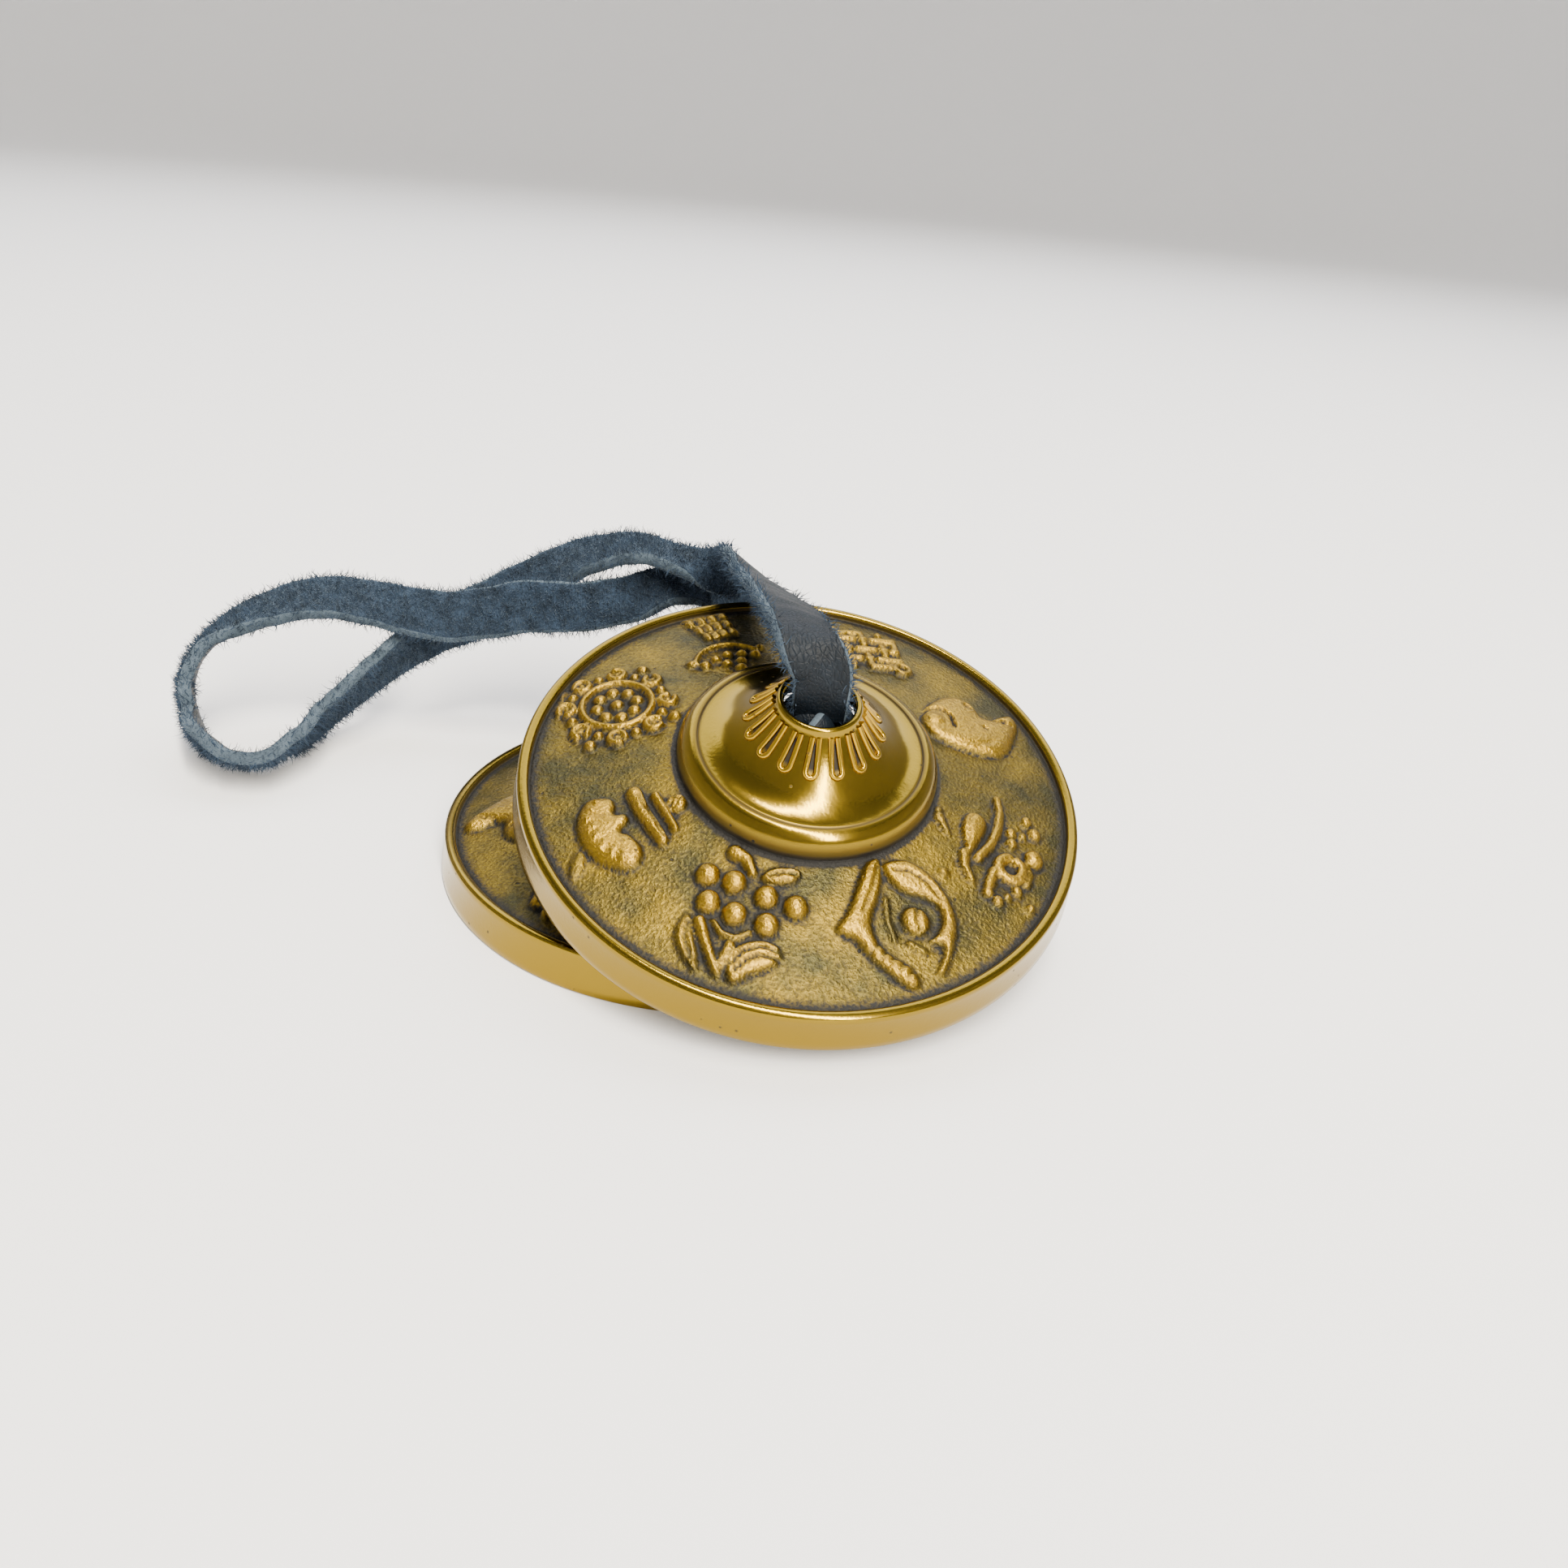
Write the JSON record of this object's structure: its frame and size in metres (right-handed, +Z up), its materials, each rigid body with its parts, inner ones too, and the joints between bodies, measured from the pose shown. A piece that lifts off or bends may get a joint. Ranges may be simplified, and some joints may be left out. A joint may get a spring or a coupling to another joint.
{
  "type": "hand cymbals",
  "caption": "Pair of small cast brass hand cymbals with raised rims and hollow bosses, joined by one flat leather strap knotted inside each boss.",
  "frame": {"origin": "on the table under the middle of the two cymbals' box", "axes": "+Z up out of the lower cymbal, +X to the side the upper cymbal is shifted to, -Y the side the upper cymbal leans down to"},
  "size_m": [0.1283, 0.0863, 0.0393],
  "materials": {
    "brass": "cast, antiqued dark in the hollows and polished on the high parts",
    "strap": "dyed split leather, smooth on one side and suede on the other"
  },
  "bodies": {
    "lower_cymbal": {"lower_cymbal": "brass"},
    "lower_strap": {"strap_lower_run": "strap", "lower_knot": "strap"},
    "upper_strap": {"strap_upper_run": "strap"},
    "upper_knot": {"upper_knot": "strap"},
    "upper_cymbal": {"upper_cymbal": "brass"}
  },
  "joints": [
    {"name": "lower_swivel", "type": "hinge", "parent": "lower_cymbal", "child": "lower_strap", "pos_m": [-0.00575, 0.0039, 0.0182], "axis": [0, 0, 1], "continuous": true},
    {"name": "upper_lift", "type": "slide", "parent": "lower_strap", "child": "upper_strap", "axis": [0, 0, 1], "range_m": [0, 0.04], "deforming": ["strap_lower_run"]},
    {"name": "upper_tip", "type": "hinge", "parent": "upper_strap", "child": "upper_knot", "pos_m": [0.01313, -0.03692, 0.00192], "axis": [0.9755, 0.2199, 0], "range_deg": [0, 45], "deforming": ["strap_upper_run"]},
    {"name": "upper_spin", "type": "hinge", "parent": "upper_knot", "child": "upper_cymbal", "pos_m": [0.00714, -0.01033, 0.03047], "axis": [0.0709, -0.3144, 0.9467], "continuous": true}
  ]
}
